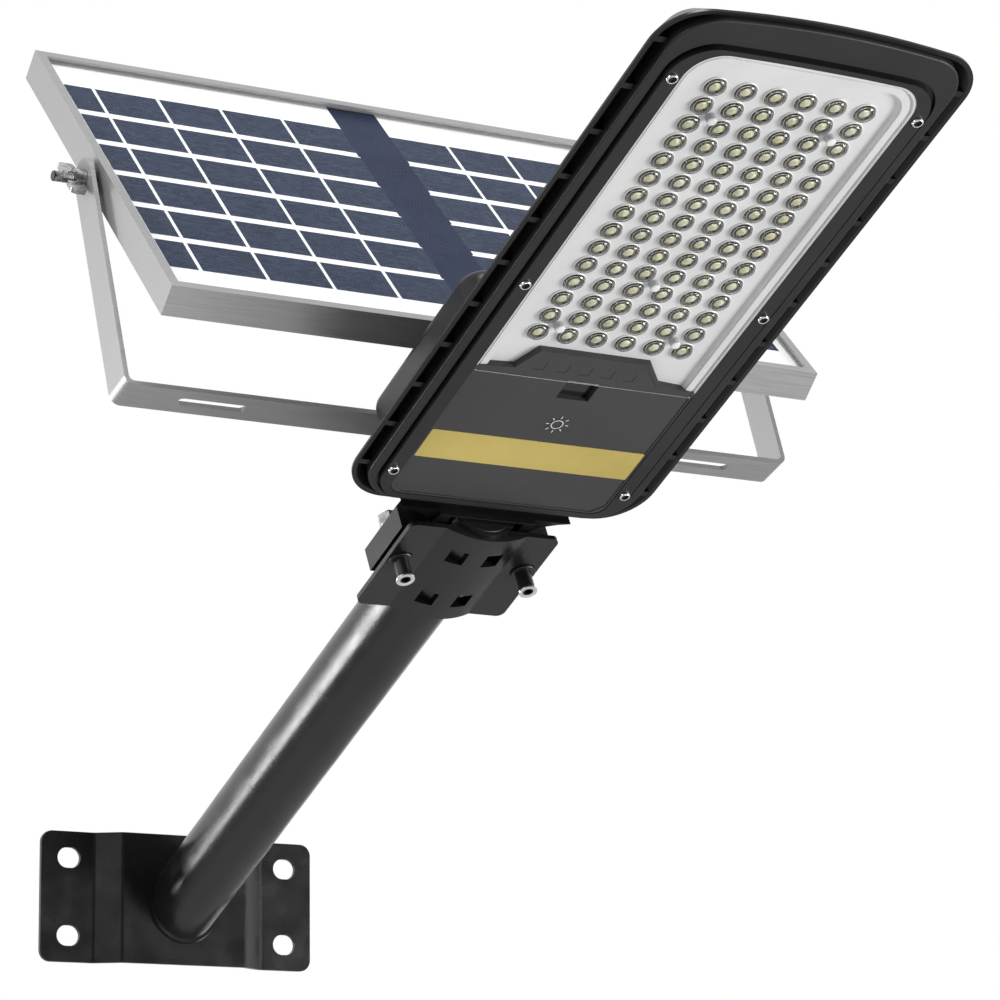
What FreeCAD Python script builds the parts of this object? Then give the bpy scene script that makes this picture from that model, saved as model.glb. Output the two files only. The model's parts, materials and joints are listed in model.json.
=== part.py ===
import FreeCAD, Part
import math
import os
from types import SimpleNamespace

import Sketcher

from FreeCAD import Placement, Rotation, Vector

# Solar street lamp on a wall arm.  Origin: centre of the four-slot pattern of the
# wall plate, on the wall.  +Y goes into the wall, +Z is up, the lamp reaches along -Y.

doc = FreeCAD.newDocument("SolarStreetLamp")
sheet = doc.addObject("Spreadsheet::Sheet", "Dims")

DIMENSIONS = [
    # wall plate, a hat section
    ("plate_width", 205.0, "wall plate, across"),
    ("plate_height", 89.0, "wall plate, upright"),
    ("plate_sheet", 3.0, "sheet thickness of the plate"),
    ("hat_height", 14.5, "front of the raised middle, off the wall"),
    ("hat_half", 47.0, "half width of the raised middle"),
    ("flange_inner", 63.5, "where the flat flange begins"),
    ("slot_x", 82.0, "slot centre, across"),
    ("slot_z", 26.5, "slot centre, upright"),
    ("slot_radius", 7.0, "half height of a slot"),
    ("slot_half", 1.5, "half the straight part of a slot"),
    # arm
    ("tube_radius", 25.0, "arm tube, outside"),
    ("tube_wall", 2.5, "arm tube, wall"),
    ("tube_reach", 458.0, "arm tube, plate to inner end"),
    ("weld_leg", 2.2, "leg of the weld round the tube"),
    ("bore_radius", 25.1, "bore of the clamp round the tube"),
    # clamp at the back of the lamp
    ("clamp_near", 375.0, "clamp end nearer the wall"),
    ("clamp_far", 456.0, "clamp end nearer the lamp"),
    ("clamp_half", 52.0, "half width of the clamp"),
    ("saddle_sheet", 3.0, "sheet of the lower saddle"),
    ("saddle_swell", 62.0, "radius of the saddle's swollen middle, outside"),
    ("saddle_drop", 18.3, "upper face of the saddle flange, below the axis"),
    ("neck_bottom", 15.0, "underside of the neck ears, below the axis"),
    ("neck_top", 33.0, "top of the neck, above the axis"),
    ("neck_far", 461.0, "neck end at the lamp head"),
    ("neck_near", 385.0, "neck end nearer the wall"),
    ("neck_waist", 33.0, "half width of the neck and radius of its shell"),
    ("ear_far", 445.0, "clamp ear, end nearer the lamp"),
    ("ear_near", 400.0, "clamp ear, end nearer the wall"),
    ("ear_top", 14.0, "top of the clamp ears"),
    ("spot_floor", 3.0, "nut seat in the ear"),
    ("bolt_x", 43.0, "clamp bolt, across"),
    ("bolt_y", 421.0, "clamp bolt, along the arm"),
    ("bolt_radius", 4.0, "clamp bolt shank"),
    ("bolt_hole", 4.4, "clamp bolt hole"),
    # lamp head
    ("head_far", 889.5, "outer end of the head"),
    ("head_near", 461.0, "inner end of the head shell"),
    ("rim_half", 103.5, "half width of the outer rim"),
    ("rim_wall_half", 101.3, "inside of the outer rim"),
    ("rim_low", 6.0, "lower edge of the rim, below the axis"),
    ("roof_low", 7.0, "underside of the roof"),
    ("roof_high", 10.0, "top of the roof"),
    ("face_half", 93.0, "half width of the face frame"),
    ("face_far", 886.3, "outer end of the face frame"),
    ("face_near", 464.0, "inner end of the face frame"),
    ("groove_outer", 87.0, "groove round the window ring, outer side"),
    ("ring_half", 84.5, "half width of the window ring"),
    ("ring_far", 864.8, "outer end of the window ring"),
    ("ring_near", 468.0, "inner end of the window ring"),
    ("window_half", 75.0, "half width of the window"),
    ("window_far", 861.3, "outer end of the window"),
    ("window_near", 472.0, "inner end of the window"),
    ("face_low", 9.4, "face of the frame, below the axis"),
    ("ring_low", 11.4, "face of the window ring, below the axis"),
    ("rib_width", 4.0, "side rib"),
    ("rib_pitch", 36.75, "pitch of the side ribs"),
    ("rib_first", 857.75, "outermost side rib"),
    # light panel
    ("led_pitch_x", 19.6, "lens pitch, across"),
    ("led_pitch_y", 14.94, "lens pitch, along"),
    ("led_first", 833.0, "outermost row of lenses"),
    ("led_radius", 6.6, "lens radius"),
    ("led_rise", 3.6, "lens height"),
    ("board_half", 66.0, "half width of the lens plate"),
    # battery box on the back
    ("box_half", 87.0, "half width of the battery box"),
    ("box_far", 628.0, "outer end of the battery box"),
    ("box_near", 490.0, "inner end of the battery box"),
    ("box_high", 35.0, "top of the battery box"),
    ("box_wall", 3.0, "wall of the battery box"),
    ("cell_radius", 9.2, "battery cell"),
    ("cell_length", 65.0, "battery cell"),
    # bracket of the solar panel
    ("strap_width", 23.0, "bracket strap"),
    ("strap_sheet", 3.0, "bracket sheet"),
    ("strap_half", 233.0, "half width of the bracket, outside"),
    ("arm_height", 167.0, "bracket arm, strap to tip"),
    ("pivot_height", 153.0, "pivot above the strap"),
    ("strap_slot_x", 172.0, "adjusting slot, across"),
    ("strap_slot_half", 19.0, "half the straight part of an adjusting slot"),
    ("strap_slot_radius", 3.5, "half width of an adjusting slot"),
    ("pivot_hole", 3.1, "pivot hole"),
    ("pivot_radius", 3.0, "pivot bolt"),
    # solar panel
    ("panel_width", 452.0, "panel, across"),
    ("panel_length", 288.0, "panel, up the slope"),
    ("panel_depth", 20.5, "frame depth"),
    ("pivot_back", 3.5, "pivot behind the middle of the frame depth"),
    ("frame_wall", 2.0, "wall of the frame rail"),
    ("frame_lip", 6.0, "front lip of the rail"),
    ("frame_foot", 15.0, "back foot of the rail"),
    ("glass_thick", 3.2, "cover glass"),
    ("cell_thick", 1.2, "cell laminate"),
]
for row, (alias, value, note) in enumerate(DIMENSIONS, start=1):
    sheet.set(f"A{row}", alias)
    sheet.set(f"B{row}", f"{value:g}")
    sheet.setAlias(f"B{row}", alias)
    sheet.set(f"C{row}", note)
doc.recompute()

ARM_TILT = 26.0       # rise of the arm above level, degrees
STRAP_TILT = 20.3     # lean of the bracket arms towards the wall, degrees
PANEL_TILT = 45.0     # slope of the panel above level, degrees


class Size:
    """A length with the sheet expression that drives it."""

    def __init__(self, value, text):
        self.value = float(value)
        self.text = text

    @staticmethod
    def of(other):
        if isinstance(other, Size):
            return other
        return Size(other, f"({other:.6g})")

    def join(self, other, sign, value):
        return Size(value, f"({self.text} {sign} {other.text})")

    def __add__(self, other):
        other = Size.of(other)
        return self.join(other, "+", self.value + other.value)

    def __sub__(self, other):
        other = Size.of(other)
        return self.join(other, "-", self.value - other.value)

    def __mul__(self, other):
        other = Size.of(other)
        return self.join(other, "*", self.value * other.value)

    def __truediv__(self, other):
        other = Size.of(other)
        return self.join(other, "/", self.value / other.value)

    def __neg__(self):
        return Size(-self.value, f"(-1 * {self.text})")

    def __rsub__(self, other):
        return Size.of(other) - self

    def __radd__(self, other):
        return Size.of(other) + self


D = SimpleNamespace(**{alias: Size(value, f"Dims.{alias}") for alias, value, note in DIMENSIONS})

TURNS = {"x": Rotation(Vector(0, 1, 0), 90), "y": Rotation(Vector(1, 0, 0), -90), "z": Rotation()}
WALL = Placement()
ARM = Placement(Vector(0, -D.hat_height.value, 0), Rotation(Vector(1, 0, 0), -ARM_TILT))
STRAP = Placement(Vector(0, -405.5, 248.0), Rotation(Vector(1, 0, 0), -STRAP_TILT))
PIVOT = STRAP.multVec(Vector(0, 0, D.pivot_height.value))
PANEL = Placement(PIVOT, Rotation(Vector(1, 0, 0), PANEL_TILT))
PANEL_BODY = PANEL.multiply(Placement(Vector(0, 0, D.pivot_back.value), Rotation()))

nodes = []


def bind(thing, prop, size):
    thing.setExpression(prop, Size.of(size).text)


def put(thing, corner):
    for axis, size in zip("xyz", corner):
        bind(thing, f"Placement.Base.{axis}", size)


def box(xs, ys, zs):
    """A box from three (low, high) pairs."""
    made = doc.addObject("Part::Box", "Block")
    for prop, (low, high) in zip(("Length", "Width", "Height"), (xs, ys, zs)):
        bind(made, prop, Size.of(high) - low)
    put(made, (xs[0], ys[0], zs[0]))
    return made


def rod(radius, start, length, axis="z"):
    """A cylinder from its start point along an axis."""
    made = doc.addObject("Part::Cylinder", "Rod")
    made.Placement = Placement(Vector(), TURNS[axis])
    bind(made, "Radius", radius)
    bind(made, "Height", length)
    put(made, start)
    return made


def hexagon(flats, start, length, axis="z"):
    """A hexagonal prism, measured across flats."""
    made = doc.addObject("Part::Prism", "Hex")
    made.Polygon = 6
    made.Placement = Placement(Vector(), TURNS[axis])
    bind(made, "Circumradius", Size.of(flats) / 1.732051)
    bind(made, "Height", length)
    put(made, start)
    return made


def fuse(*shapes):
    made = doc.addObject("Part::MultiFuse", "Union")
    made.Shapes = list(shapes)
    made.Refine = True
    return made


def cut(base, *tools):
    made = doc.addObject("Part::Cut", "Difference")
    made.Base = base
    made.Tool = tools[0] if len(tools) == 1 else fuse(*tools)
    made.Refine = True
    return made


def common(base, tool):
    made = doc.addObject("Part::Common", "Shared")
    made.Base = base
    made.Tool = tool
    return made


def softened(base, radius, wanted, kind="Part::Fillet"):
    """Rounds or chamfers the edges that the test picks."""
    doc.recompute()
    made = doc.addObject(kind, "Eased")
    made.Base = base
    edges = base.Shape.Edges
    made.Edges = [(i, radius, radius) for i, edge in enumerate(edges, start=1) if wanted(edge)]
    return made


def along(axis, edge):
    """True for a straight edge that runs along the axis."""
    if edge.Curve.TypeId != "Part::GeomLine":
        return False
    run = edge.Vertexes[-1].Point - edge.Vertexes[0].Point
    return run.Length > 0.01 and abs(run.normalize()["xyz".index(axis)]) > 0.999


def end_circle(edge):
    return edge.Curve.TypeId == "Part::GeomCircle" and edge.isClosed()


def node(thing, label, frame):
    """Registers a finished piece under its own name, in its own frame."""
    thing.Label = label
    thing.Placement = frame
    nodes.append(thing)
    return thing


def new_body():
    return doc.addObject("PartDesign::Body", "Body")


def sketch_on(body, role, height=0.0):
    plane = next(f for f in body.Origin.OriginFeatures if f.Role == role)
    sketch = body.newObject("Sketcher::SketchObject", "Sketch")
    sketch.AttachmentSupport = (plane, [""])
    sketch.MapMode = "FlatFace"
    bind(sketch, "AttachmentOffset.Base.z", height)
    return sketch


def pin(sketch, geometry, point, x, y):
    """Holds a sketch point at the bound distances from the sketch origin."""
    for kind, size in (("DistanceX", Size.of(x)), ("DistanceY", Size.of(y))):
        index = sketch.addConstraint(Sketcher.Constraint(kind, -1, 1, geometry, point, size.value))
        sketch.setExpression(f"Constraints[{index}]", size.text)


def polygon(sketch, points):
    """A closed outline whose corners are all bound to the sheet."""
    flat = [Vector(Size.of(x).value, Size.of(y).value, 0) for x, y in points]
    start = sketch.GeometryCount
    count = len(flat)
    for i in range(count):
        sketch.addGeometry(Part.LineSegment(flat[i], flat[(i + 1) % count]), False)
    for i in range(count):
        after = start + (i + 1) % count
        sketch.addConstraint(Sketcher.Constraint("Coincident", start + i, 2, after, 1))
        pin(sketch, start + i, 1, *points[i])


def rectangle(sketch, xs, ys):
    polygon(sketch, [(xs[0], ys[0]), (xs[1], ys[0]), (xs[1], ys[1]), (xs[0], ys[1])])


def obround(sketch, cx, cy, half, radius):
    """A slot along the sketch x axis: two end arcs and two straight sides."""
    x, y, a, r = cx.value, cy.value, half.value, radius.value
    start = sketch.GeometryCount
    axis = Vector(0, 0, 1)
    left = Part.Circle(Vector(x - a, y, 0), axis, r)
    right = Part.Circle(Vector(x + a, y, 0), axis, r)
    sketch.addGeometry(Part.ArcOfCircle(left, math.pi / 2, 3 * math.pi / 2), False)
    sketch.addGeometry(Part.LineSegment(Vector(x - a, y - r, 0), Vector(x + a, y - r, 0)), False)
    sketch.addGeometry(Part.ArcOfCircle(right, -math.pi / 2, math.pi / 2), False)
    sketch.addGeometry(Part.LineSegment(Vector(x + a, y + r, 0), Vector(x - a, y + r, 0)), False)
    for first, first_end, second, second_end in ((0, 2, 1, 1), (1, 2, 2, 1), (2, 2, 3, 1), (3, 2, 0, 1)):
        sketch.addConstraint(Sketcher.Constraint(
            "Tangent", start + first, first_end, start + second, second_end))
    pin(sketch, start, 3, cx - half, cy)
    pin(sketch, start + 2, 3, cx + half, cy)
    index = sketch.addConstraint(Sketcher.Constraint("Radius", start, r))
    sketch.setExpression(f"Constraints[{index}]", radius.text)


def circle(sketch, cx, cy, radius):
    radius = Size.of(radius)
    centre = Vector(Size.of(cx).value, Size.of(cy).value, 0)
    index = sketch.addGeometry(Part.Circle(centre, Vector(0, 0, 1), radius.value), False)
    pin(sketch, index, 3, cx, cy)
    held = sketch.addConstraint(Sketcher.Constraint("Radius", index, radius.value))
    sketch.setExpression(f"Constraints[{held}]", radius.text)


def pad(body, sketch, length, both=False):
    made = body.newObject("PartDesign::Pad", "Pad")
    made.Profile = sketch
    bind(made, "Length", length)
    made.SideType = "Symmetric" if both else "One side"
    return made


def pocket(body, sketch, length=None, reverse=False):
    """Cuts a sketch through everything, or to a length, and checks that it cut."""
    doc.recompute()
    before = body.Shape.Volume
    made = body.newObject("PartDesign::Pocket", "Pocket")
    made.Profile = sketch
    if length is None:
        made.Type = "ThroughAll"
        made.SideType = "Symmetric"
    else:
        bind(made, "Length", length)
        made.Reversed = reverse
    doc.recompute()
    if not body.Shape.Volume < before - 0.01:
        raise RuntimeError(f"a pocket in {body.Label} cut nothing")
    return made


def round_edges(body, radius, wanted):
    """A fillet on the picked edges of the body's last feature."""
    doc.recompute()
    tip = body.Tip
    names = [f"Edge{i}" for i, edge in enumerate(tip.Shape.Edges, start=1) if wanted(edge)]
    made = body.newObject("PartDesign::Fillet", "Fillet")
    made.Base = (tip, names)
    bind(made, "Radius", radius)
    return made


def near(point, x=None, y=None, z=None, slack=0.6):
    wanted = ((point.x, x), (point.y, y), (point.z, z))
    return all(goal is None or abs(abs(value) - abs(goal)) < slack for value, goal in wanted)


# ---------------------------------------------------------------- wall plate and arm

body = new_body()
outline = sketch_on(body, "XY_Plane")
half = D.plate_width / 2
face = -D.hat_height
back = -(D.hat_height - D.plate_sheet)
front = -D.plate_sheet
right_side = [(D.flange_inner - 1.5, 0.0), (half, 0.0), (half, front), (D.flange_inner, front),
              (D.hat_half, face)]
right_back = (D.hat_half - 1.5, back)
corners = [right_back] + right_side
mirrored = [(-Size.of(x), y) for x, y in reversed(corners)]
polygon(outline, corners + mirrored)
pad(body, outline, D.plate_height, both=True)
bends = (D.hat_half.value, D.hat_half.value - 1.5, D.flange_inner.value, D.flange_inner.value - 1.5)
round_edges(body, 4.0, lambda e: along("z", e) and any(near(e.CenterOfMass, x=b, slack=0.1) for b in bends))
round_edges(body, 8.0, lambda e: along("y", e) and near(e.CenterOfMass, x=half.value, z=44.5))
slots = sketch_on(body, "XZ_Plane")
for side in (-1, 1):
    for level in (-1, 1):
        obround(slots, D.slot_x * side, D.slot_z * level, D.slot_half, D.slot_radius)
pocket(body, slots)
node(body, "wall_plate", WALL)


def wall_side():
    """Everything behind the raised face of the plate, seen from the arm."""
    made = doc.addObject("Part::Box", "WallSide")
    made.Length, made.Width, made.Height = 200, 60, 200
    made.Placement = Placement(Vector(), Rotation(Vector(1, 0, 0), ARM_TILT)).multiply(
        Placement(Vector(-100, 0, -100), Rotation()))
    return made


tube = cut(rod(D.tube_radius, (0, -D.tube_reach, 0), D.tube_reach + 20, "y"),
           rod(D.tube_radius - D.tube_wall, (0, -D.tube_reach - 1, 0), D.tube_reach + 40, "y"),
           wall_side())
node(tube, "arm_tube", ARM)

weld_slab = doc.addObject("Part::Box", "WeldSlab")
weld_slab.Length, weld_slab.Width, weld_slab.Height = 200, D.weld_leg.value, 200
weld_slab.Placement = Placement(Vector(), Rotation(Vector(1, 0, 0), ARM_TILT)).multiply(
    Placement(Vector(-100, -D.weld_leg.value, -100), Rotation()))
weld = cut(common(rod(D.tube_radius + D.weld_leg, (0, -60, 0), 100, "y"), weld_slab),
           rod(D.tube_radius, (0, -60, 0), 100, "y"))
node(weld, "weld_bead", ARM)

plug_radius = D.tube_radius - D.tube_wall - 0.02
plug = cut(rod(plug_radius, (0, -D.tube_reach, 0), 12, "y"),
           rod(plug_radius - 3, (0, -D.tube_reach + 3, 0), 12, "y"))
node(softened(plug, 0.6, end_circle, "Part::Chamfer"), "tube_end_plug", ARM)

# ---------------------------------------------------------------- clamp

body = new_body()
low = -D.neck_bottom
outline = sketch_on(body, "XZ_Plane", D.neck_near)
circle(outline, 0, 0, D.neck_waist)
pad(body, outline, D.neck_far - D.neck_near)
outline = sketch_on(body, "XZ_Plane", D.ear_near)
wide = D.clamp_half
top = D.ear_top
polygon(outline, [(-wide, low), (wide, low), (wide, 1.0), (wide - 12, top), (-wide + 12, top), (-wide, 1.0)])
pad(body, outline, D.ear_far - D.ear_near)
outline = sketch_on(body, "XZ_Plane", D.ear_far)
rectangle(outline, (-D.neck_waist, D.neck_waist), (low, D.neck_top))
pad(body, outline, D.neck_far - D.ear_far)
outline = sketch_on(body, "XZ_Plane", D.ear_far)
rectangle(outline, (-26.0, 26.0), (D.roof_high, D.neck_top))
pad(body, outline, 34.0)
flare = sketch_on(body, "XY_Plane", -12.0)
polygon(flare, [(-D.neck_waist + 4, -D.ear_far), (D.neck_waist - 4, -D.ear_far), (D.neck_waist + 2, -450.0),
                (D.neck_waist + 8, -455.0), (D.neck_waist + 18, -459.0), (D.neck_waist + 26, -D.neck_far),
                (-D.neck_waist - 26, -D.neck_far), (-D.neck_waist - 18, -459.0), (-D.neck_waist - 8, -455.0),
                (-D.neck_waist - 2, -450.0)])
pad(body, flare, 20.0)
underside = sketch_on(body, "XZ_Plane")
rectangle(underside, (-60.0, 60.0), (-60.0, low))
pocket(body, underside)
bore = sketch_on(body, "XZ_Plane", D.tube_reach + 1.5)
rectangle(bore, (-D.bore_radius, D.bore_radius), (low - 5, 0.0))
pocket(body, bore, D.tube_reach)
bore = sketch_on(body, "XZ_Plane", D.tube_reach + 1.5)
circle(bore, 0, 0, D.bore_radius)
pocket(body, bore, D.tube_reach)
seat = sketch_on(body, "XY_Plane", 60)
holes = sketch_on(body, "XY_Plane")
for side in (-1, 1):
    circle(seat, D.bolt_x * side, -D.bolt_y, 8.6)
    circle(holes, D.bolt_x * side, -D.bolt_y, D.bolt_hole)
pocket(body, seat, 60 - D.spot_floor)
pocket(body, holes)
node(body, "neck_saddle", ARM)

flat_low = -D.saddle_drop - D.saddle_sheet
flat_high = -D.saddle_drop
span = (-D.clamp_far, -D.clamp_near)
outer = D.bore_radius + D.saddle_sheet
length = D.clamp_far - D.clamp_near
swell = D.saddle_swell
trough = common(rod(swell, (0, span[0], swell - outer), length, "y"), box((-45, 45), span, (-40, flat_high)))
blank = fuse(trough, box((-D.clamp_half, D.clamp_half), span, (flat_low, flat_high)))
LOUVRE_X = 12.3
LOUVRE_Y = 21.0
LOUVRE_MIDDLE = 414.5
LOUVRE_HALF = 5.8
louvres = []
for side in (-1, 1):
    for step in (-1, 1):
        x = LOUVRE_X * side
        y = -LOUVRE_MIDDLE + LOUVRE_Y * step
        louvres.append(box((x - LOUVRE_HALF, x + LOUVRE_HALF),
                           (y - LOUVRE_HALF, y + LOUVRE_HALF), (-40, -10)))
bolt_holes = [rod(D.bolt_hole, (D.bolt_x * side, -D.bolt_y, -60), 60) for side in (-1, 1)]
saddle = cut(blank, rod(D.bore_radius, (0, span[0] - 1, 0), length + 2, "y"), *louvres, *bolt_holes)
saddle = softened(saddle, 5.0,
                  lambda e: along("z", e) and near(e.CenterOfMass, x=D.clamp_half.value, slack=0.1))
node(saddle, "lower_saddle", ARM)

for side, word in ((-1, "left"), (1, "right")):
    x = D.bolt_x * side
    y = -D.bolt_y
    under = flat_low
    head = cut(rod(5.0, (x, y, under - 15.0), 13.4), hexagon(5, (x, y, under - 16.0), 5.0))
    bolt = fuse(softened(head, 0.5, lambda e: end_circle(e) and e.CenterOfMass.z < -36, "Part::Chamfer"),
                rod(D.bolt_radius, (x, y, under - 3), D.spot_floor - under + 12.5))
    node(bolt, f"clamp_bolt_{word}", ARM)
    washer = cut(rod(8.0, (x, y, under - 1.6), 1.6), rod(D.bolt_hole, (x, y, -60), 60))
    node(softened(washer, 0.3, end_circle, "Part::Chamfer"), f"clamp_washer_{word}", ARM)
    floor = D.spot_floor
    spring = cut(rod(7.0, (x, y, floor), 2.2), rod(D.bolt_hole, (x, y, -60), 90),
                 box((x, x + 9.0), (y - 0.7, y + 0.7), (-60, 30)))
    node(spring, f"spring_washer_{word}", ARM)
    nut = cut(common(hexagon(13, (x, y, floor + 2.2), 6.6), rod(7.3, (x, y, floor + 2.2), 6.6)),
              rod(D.bolt_radius + 0.02, (x, y, -60), 120))
    node(nut, f"clamp_nut_{word}", ARM)

# ---------------------------------------------------------------- lamp head

def rounded_plate(xs, ys, zs, far_radius, near_radius):
    """A plate with four rounded upright corners, as a box with eased edges."""
    plate = box(xs, ys, zs)
    doc.recompute()
    middle = plate.Shape.BoundBox.Center.y
    quarter = plate.Shape.BoundBox.YLength / 4
    eased = softened(plate, far_radius, lambda e: along("z", e) and e.CenterOfMass.y < middle)
    return softened(eased, near_radius, lambda e: along("z", e) and e.CenterOfMass.y > middle + quarter)


def bowed_plate(half, far, near_end, zs, far_radius, near_radius, bow):
    """A plate whose far end bows outwards on a large radius, tangent to its corner rounds."""
    half, far, near_end, low = Size.of(half), Size.of(far), Size.of(near_end), Size.of(zs[0])
    bow_y = bow - far.value
    side = half.value - far_radius
    corner_y = bow_y - math.sqrt((bow - far_radius) ** 2 - side ** 2)
    swing = math.asin(side / (bow - far_radius))
    inner = half.value - near_radius
    top = -near_end.value
    sketch = doc.addObject("Sketcher::SketchObject", "Sketch")
    bind(sketch, "Placement.Base.z", low)

    def arc(x, y, radius, start, end):
        circle_line = Part.Circle(Vector(x, y, 0), Vector(0, 0, 1), radius)
        sketch.addGeometry(Part.ArcOfCircle(circle_line, start, end), False)

    def line(x0, y0, x1, y1):
        sketch.addGeometry(Part.LineSegment(Vector(x0, y0, 0), Vector(x1, y1, 0)), False)

    quarter = math.pi / 2
    arc(0, bow_y, bow, -quarter - swing, -quarter + swing)
    arc(side, corner_y, far_radius, -quarter + swing, 0)
    line(half.value, corner_y, half.value, top - near_radius)
    arc(inner, top - near_radius, near_radius, 0, quarter)
    line(inner, top, -inner, top)
    arc(-inner, top - near_radius, near_radius, quarter, 2 * quarter)
    line(-half.value, top - near_radius, -half.value, corner_y)
    arc(-side, corner_y, far_radius, 2 * quarter, 3 * quarter - swing)
    for index in range(8):
        sketch.addConstraint(Sketcher.Constraint("Tangent", index, 2, (index + 1) % 8, 1))
    sketch.addConstraint(Sketcher.Constraint("Vertical", 2))
    sketch.addConstraint(Sketcher.Constraint("Horizontal", 4))
    sketch.addConstraint(Sketcher.Constraint("Vertical", 6))
    for index, radius in ((0, bow), (1, far_radius), (3, near_radius), (5, near_radius), (7, far_radius)):
        sketch.addConstraint(Sketcher.Constraint("Radius", index, radius))
    held = (("DistanceX", 2, 1, half), ("DistanceX", 6, 1, -half), ("DistanceY", 4, 1, -near_end),
            ("DistanceY", 0, 3, bow - far), ("DistanceX", 0, 3, Size.of(0)))
    for kind, shape, point, size in held:
        index = sketch.addConstraint(Sketcher.Constraint(kind, -1, 1, shape, point, size.value))
        sketch.setExpression(f"Constraints[{index}]", size.text)
    made = doc.addObject("Part::Extrusion", "Plate")
    made.Base = sketch
    made.DirMode = "Custom"
    made.Dir = Vector(0, 0, 1)
    made.Solid = True
    bind(made, "LengthFwd", Size.of(zs[1]) - low)
    return made


HEAD_BOW = 620.0
RING_BOW = 1400.0
outside = bowed_plate(D.rim_half, D.head_far, D.head_near, (-D.rim_low, D.roof_high), 30, 32, HEAD_BOW)
outside = softened(outside, 14.5, lambda e: abs(e.CenterOfMass.z - D.roof_high.value) < 0.01, "Part::Chamfer")
neck_deck = box((-60, 60), (-D.head_near - 15, -D.head_near), (0, D.roof_high))
inside = bowed_plate(D.rim_wall_half, D.head_far - 2.2, D.head_near + 2.2, (-D.rim_low - 5, D.roof_low),
                     28, 30, HEAD_BOW)
inside = softened(inside, 13.5, lambda e: abs(e.CenterOfMass.z - D.roof_low.value) < 0.01, "Part::Chamfer")
frame_space = fuse(inside, box((-100, 100), (-D.head_far, -D.head_near), (-D.rim_low - 10, -D.rim_low - 1)))
ribs = []
for index in range(11):
    y = -D.rib_first + D.rib_pitch * index
    for side in (-1, 1):
        near_x, far_x = D.face_half + 0.2, D.rim_wall_half + 1
        xs = (near_x, far_x) if side > 0 else (-far_x, -near_x)
        ribs.append(box(xs, (y - D.rib_width / 2, y + D.rib_width / 2), (-D.rim_low + 0.4, D.roof_low + 1)))
box_inner = rounded_plate((-D.box_half + D.box_wall, D.box_half - D.box_wall),
                          (-D.box_far + D.box_wall, -D.box_near - D.box_wall), (0, 12), 14, 14)
shell = cut(fuse(cut(fuse(outside, neck_deck), inside), common(fuse(*ribs), outside)), box_inner)
node(shell, "head_shell", ARM)

lid_outer = rounded_plate((-D.box_half, D.box_half), (-D.box_far, -D.box_near),
                          (D.roof_high, D.box_high), 16, 16)
lid_outer = softened(lid_outer, 7, lambda e: abs(e.CenterOfMass.z - D.box_high.value) < 0.01)
lid_inner = rounded_plate((-D.box_half + D.box_wall, D.box_half - D.box_wall),
                          (-D.box_far + D.box_wall, -D.box_near - D.box_wall),
                          (0, D.box_high - D.box_wall), 14, 14)
gland_x = 50.0
lid = cut(lid_outer, lid_inner, rod(6.2, (gland_x, -D.box_near - 20, 22.5), 40, "y"))
node(lid, "battery_cover", ARM)

frame_outer = bowed_plate(D.face_half, D.face_far, D.face_near, (-D.face_low, D.roof_low), 28, 28, HEAD_BOW)
frame_step = bowed_plate(D.groove_outer, D.ring_far + 2.5, D.face_near + 2,
                         (-D.face_low - 1, -D.face_low + 3), 26, 24, RING_BOW)
frame_open = bowed_plate(D.window_half + 2, D.window_far + 2, D.window_near - 1,
                         (-D.face_low - 2, D.roof_low + 2), 22, 10, RING_BOW)
face_frame = cut(common(frame_outer, frame_space), frame_step, frame_open)
face_frame = softened(face_frame, 1.2, lambda e: near(e.CenterOfMass, z=D.face_low.value, slack=0.02)
                      and e.CenterOfMass.z < 0 and (e.BoundBox.XLength > 300 or near(e.CenterOfMass, x=93.0)
                                                    or near(e.CenterOfMass, y=D.face_far.value)))
node(face_frame, "face_frame", ARM)

SCREW_X = 80.3
SCREW_Y = (837.5, 665.0, 493.0)
screw_spots = [(side * SCREW_X, -y) for y in SCREW_Y for side in (-1, 1)]
screw_holes = [rod(1.9, (x, y, -30), 60) for x, y in screw_spots]
ring = cut(bowed_plate(D.ring_half, D.ring_far, D.ring_near, (-D.ring_low, -D.face_low + 3),
                       25, 20, RING_BOW),
           bowed_plate(D.window_half, D.window_far, D.window_near, (-30, 30), 21, 9, RING_BOW),
           *screw_holes)
node(ring, "window_ring", ARM)
for index, (x, y) in enumerate(screw_spots, start=1):
    head = cut(rod(3.4, (x, y, -D.ring_low - 2.2), 2.2), hexagon(2.5, (x, y, -D.ring_low - 3), 2.2))
    screw = fuse(head, rod(1.8, (x, y, -D.ring_low - 0.5), 5.4))
    node(screw, f"ring_screw_{index}", ARM)

body = new_body()
outline = sketch_on(body, "XY_Plane", -5.0)
rectangle(outline, (-D.board_half, D.board_half), (-850.0, -612.0))
pad(body, outline, 1.2)
dome = sketch_on(body, "XY_Plane", -5.0)
circle(dome, -(D.led_pitch_x * 2.5), -D.led_first, D.led_radius)
lens = pad(body, dome, D.led_rise)
lens.Reversed = True
lens.TaperAngle = -28
rows = body.newObject("PartDesign::LinearPattern", "LensRows")
rows.Originals = [lens]
rows.Direction = (dome, ["H_Axis"])
rows.Direction2 = (dome, ["V_Axis"])
bind(rows, "Length", D.led_pitch_x * 5)
bind(rows, "Length2", D.led_pitch_y * 14)
rows.Occurrences = 6
rows.Occurrences2 = 15
body.Tip = rows
clear = sketch_on(body, "XY_Plane")
POSTS = ((-39.2, -810.6), (39.2, -810.6), (0.0, -676.1), (-39.2, -631.3), (39.2, -631.3))
for x, y in POSTS:
    circle(clear, x, y, 3.15)
pocket(body, clear)
node(body, "lens_plate", ARM)

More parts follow.
